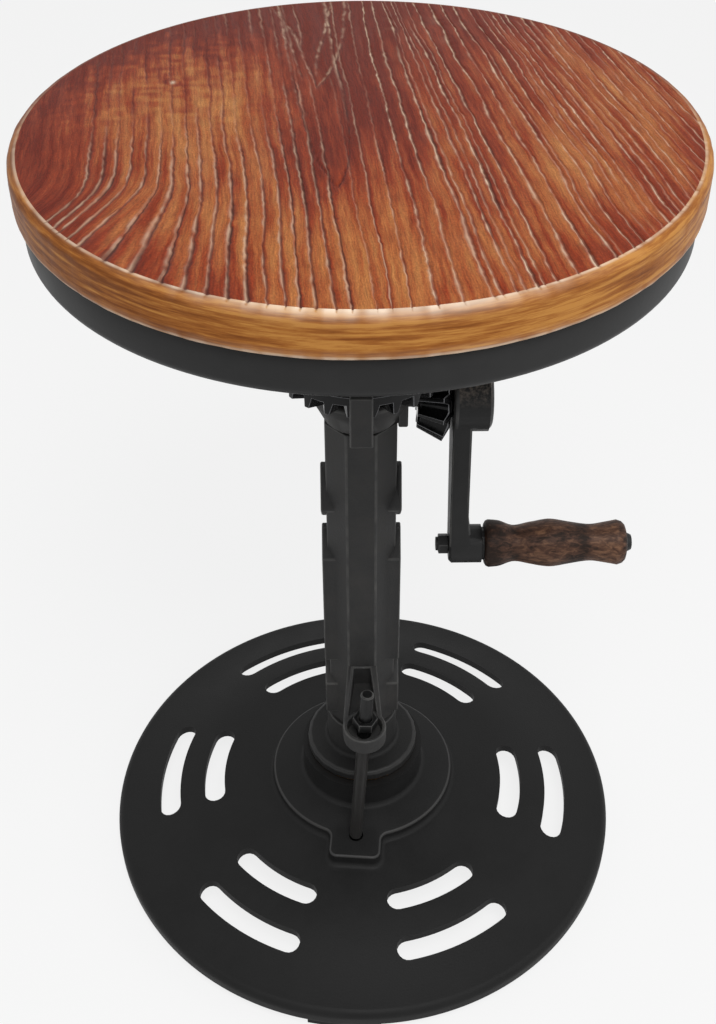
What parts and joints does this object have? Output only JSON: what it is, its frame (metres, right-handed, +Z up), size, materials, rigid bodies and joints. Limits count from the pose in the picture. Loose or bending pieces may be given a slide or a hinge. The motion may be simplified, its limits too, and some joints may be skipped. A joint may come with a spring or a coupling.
{
  "type": "crank-lift bar stool",
  "caption": "Round wooden stool seat on a lift screw, raised by a side crank through bevel gears on a swivelling cast column, with a drop lock pin and a pierced round base.",
  "frame": {"origin": "on the floor, at the middle of the round base, on the column's axis", "axes": "+Z up along the column; +X towards the crank; -Y towards the lock pin and the picture's camera"},
  "size_m": [0.336, 0.336, 0.5137],
  "materials": {
    "black_cast_iron": "matte black painted casting",
    "black_steel": "matte black enamel",
    "greased_steel": "glossy black, greased",
    "bright_steel": "machined",
    "bronze": "machined bearing bronze",
    "rubber": "matte",
    "seat_wood": "reddish-brown stain, wire-brushed grain, satin oil",
    "grip_wood": "dark burnt stain, satin"
  },
  "bodies": {
    "base": {"base_plate": "black_cast_iron", "foot_pad_1": "rubber", "foot_pad_2": "rubber", "foot_pad_3": "rubber", "foot_pad_4": "rubber", "pivot_bolt": "black_steel", "thrust_washer": "bronze", "pivot_washer": "bright_steel", "pivot_nut": "black_steel"},
    "column": {"column": "black_cast_iron", "gear_head": "black_cast_iron", "head_screw_1": "black_steel", "head_screw_2": "black_steel", "head_screw_3": "black_steel", "head_screw_4": "black_steel", "guide_key": "bright_steel", "shaft_bush": "bronze", "keeper_screw": "black_steel", "gear_washer": "bronze"},
    "gear": {"crown_gear": "greased_steel", "lift_nut": "bronze"},
    "crank": {"crank_shaft": "bright_steel", "bevel_pinion": "greased_steel", "crank_arm": "black_steel", "crank_set_screw": "black_steel", "grip_axle": "black_steel", "grip_nut": "black_steel", "grip_washer": "bright_steel"},
    "grip": {"grip": "grip_wood"},
    "seat": {"lift_screw": "bright_steel", "seat_flange": "black_cast_iron", "flange_pin": "bright_steel", "seat_screw_1": "black_steel", "seat_screw_2": "black_steel", "seat_screw_3": "black_steel", "seat_screw_4": "black_steel", "seat_pan": "black_steel", "seat_wood": "seat_wood"},
    "lock_pin": {"lock_pin": "black_steel", "pin_nut": "black_steel"}
  },
  "joints": [
    {"name": "column_swivel", "type": "hinge", "parent": "base", "child": "column", "pos_m": [0, 0, 0.0725], "axis": [0, 0, 1], "continuous": true},
    {"name": "crank_turn", "type": "hinge", "parent": "column", "child": "crank", "pos_m": [0, 0, 0.3557], "axis": [1, 0, 0], "range_deg": [0, 13500]},
    {"name": "gear_turn", "type": "hinge", "parent": "column", "child": "gear", "pos_m": [0, 0, 0.3667], "axis": [0, 0, 1], "range_deg": [-6750, 0]},
    {"name": "seat_lift", "type": "slide", "parent": "column", "child": "seat", "axis": [0, 0, 1], "range_m": [0, 0.15]},
    {"name": "grip_spin", "type": "hinge", "parent": "crank", "child": "grip", "pos_m": [0, -0.02023, 0.26595], "axis": [1, 0, 0], "continuous": true},
    {"name": "lock_pin_drop", "type": "slide", "parent": "column", "child": "lock_pin", "axis": [0.0566, 0, 0.9984], "range_m": [-0.006, 0.004]}
  ],
  "couplings": [
    {"joint": "gear_turn", "follows": "crank_turn", "ratio": -0.5},
    {"joint": "seat_lift", "follows": "crank_turn", "m_per_rad": 0.00063662}
  ]
}
